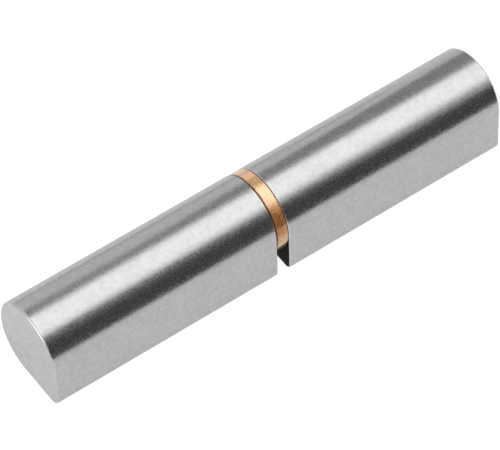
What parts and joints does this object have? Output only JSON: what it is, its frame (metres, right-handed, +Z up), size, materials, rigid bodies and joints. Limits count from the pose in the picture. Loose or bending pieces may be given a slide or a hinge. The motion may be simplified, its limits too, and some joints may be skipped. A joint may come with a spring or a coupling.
{
  "type": "weld on barrel hinge",
  "caption": "Weld-on barrel hinge with drop-section leaves, a hidden pin and a brass thrust ring; one leaf turns on the pin and lifts off along it.",
  "frame": {"origin": "on the surface that the hinge lies on, under the middle of the thrust ring, straight below the hinge axis", "axes": "+X along the hinge axis from the lift-off leaf to the pin leaf, +Z up with both bottom flats facing down, the welding noses towards -Y"},
  "size_m": [0.0801, 0.014, 0.013],
  "materials": {
    "leaf_steel": "satin, drawn and lightly blasted",
    "pin_steel": "ground",
    "ring_brass": "turned"
  },
  "bodies": {
    "fixed_half": {"pin_leaf": "leaf_steel", "hinge_pin": "pin_steel"},
    "ring": {"thrust_ring": "ring_brass"},
    "turning_half": {"lift_off_leaf": "leaf_steel"}
  },
  "joints": [
    {"name": "swing", "type": "hinge", "parent": "fixed_half", "child": "ring", "pos_m": [0, 0, 0.0065], "axis": [1, 0, 0], "continuous": true},
    {"name": "lift_off", "type": "slide", "parent": "ring", "child": "turning_half", "axis": [-1, 0, 0], "range_m": [0, 0.032]}
  ]
}
